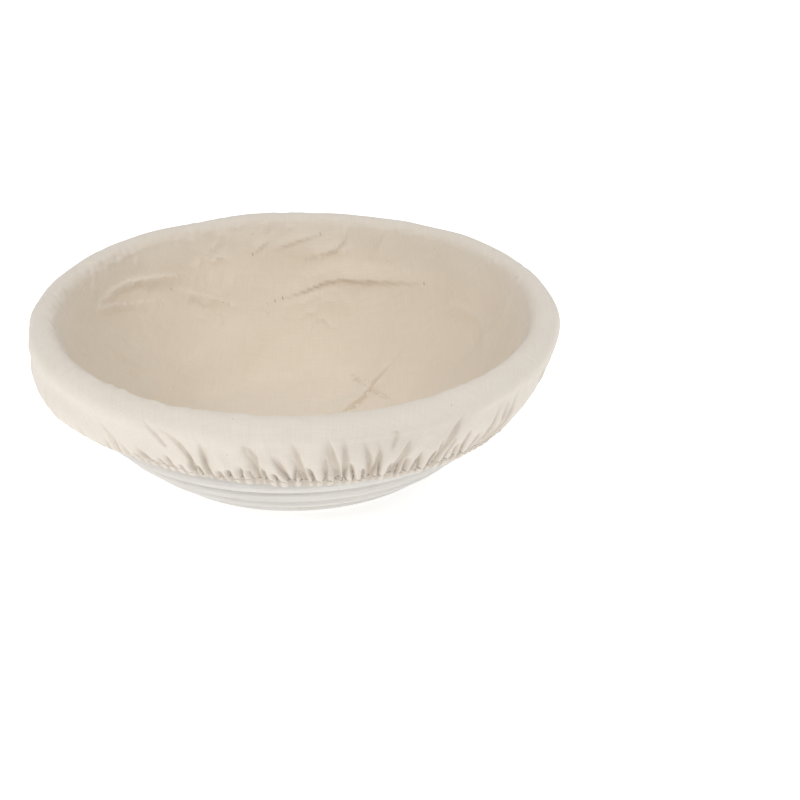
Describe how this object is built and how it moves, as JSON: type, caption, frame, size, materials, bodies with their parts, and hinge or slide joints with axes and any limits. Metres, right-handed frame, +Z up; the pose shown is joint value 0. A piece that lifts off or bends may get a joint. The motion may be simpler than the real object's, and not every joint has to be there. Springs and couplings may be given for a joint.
{
  "type": "banneton basket",
  "caption": "Round coiled-cane bread proving basket with a flat spiral floor, flared wall and a removable elasticated cloth liner folded over the rim.",
  "frame": {"origin": "on the ground under the middle of the flat floor, at the bottom centre of the box", "axes": "+Z up, out of the bowl's mouth; the shaved inner end of the coil points along +X"},
  "size_m": [0.2594, 0.2594, 0.0806],
  "materials": {
    "rattan": "bleached, smooth, matt",
    "brad_wire": "dulled, brown",
    "cotton": "unbleached plain weave",
    "elastic": "braided, matt",
    "thread": "sewing thread"
  },
  "bodies": {
    "basket": {"floor_cane": "rattan", "lower_wall_cane": "rattan", "upper_wall_cane": "rattan", "rim_cane": "rattan", "wire_brad_01": "brad_wire", "wire_brad_02": "brad_wire", "wire_brad_03": "brad_wire", "wire_brad_04": "brad_wire", "wire_brad_05": "brad_wire", "wire_brad_06": "brad_wire", "wire_brad_07": "brad_wire", "wire_brad_08": "brad_wire", "wire_brad_09": "brad_wire", "wire_brad_10": "brad_wire", "wire_brad_11": "brad_wire", "wire_brad_12": "brad_wire", "wire_brad_13": "brad_wire", "wire_brad_14": "brad_wire", "wire_brad_15": "brad_wire", "wire_brad_16": "brad_wire", "wire_brad_17": "brad_wire", "wire_brad_18": "brad_wire", "wire_brad_19": "brad_wire", "wire_brad_20": "brad_wire", "wire_brad_21": "brad_wire", "wire_brad_22": "brad_wire", "wire_brad_23": "brad_wire", "wire_brad_24": "brad_wire", "wire_brad_25": "brad_wire", "wire_brad_26": "brad_wire", "wire_brad_27": "brad_wire", "wire_brad_28": "brad_wire", "wire_brad_29": "brad_wire", "wire_brad_30": "brad_wire", "wire_brad_31": "brad_wire", "wire_brad_32": "brad_wire", "wire_brad_33": "brad_wire", "wire_brad_34": "brad_wire", "wire_brad_35": "brad_wire", "wire_brad_36": "brad_wire", "wire_brad_37": "brad_wire"},
    "liner": {"liner_bowl": "cotton", "liner_skirt": "cotton", "hem_casing": "cotton", "hem_elastic": "elastic", "hem_thread": "thread"}
  },
  "joints": [
    {"name": "liner_lift", "type": "slide", "parent": "basket", "child": "liner", "axis": [0, 0, 1], "range_m": [0, 0.12], "deforming": ["liner_skirt", "hem_casing", "hem_elastic", "hem_thread"]}
  ]
}
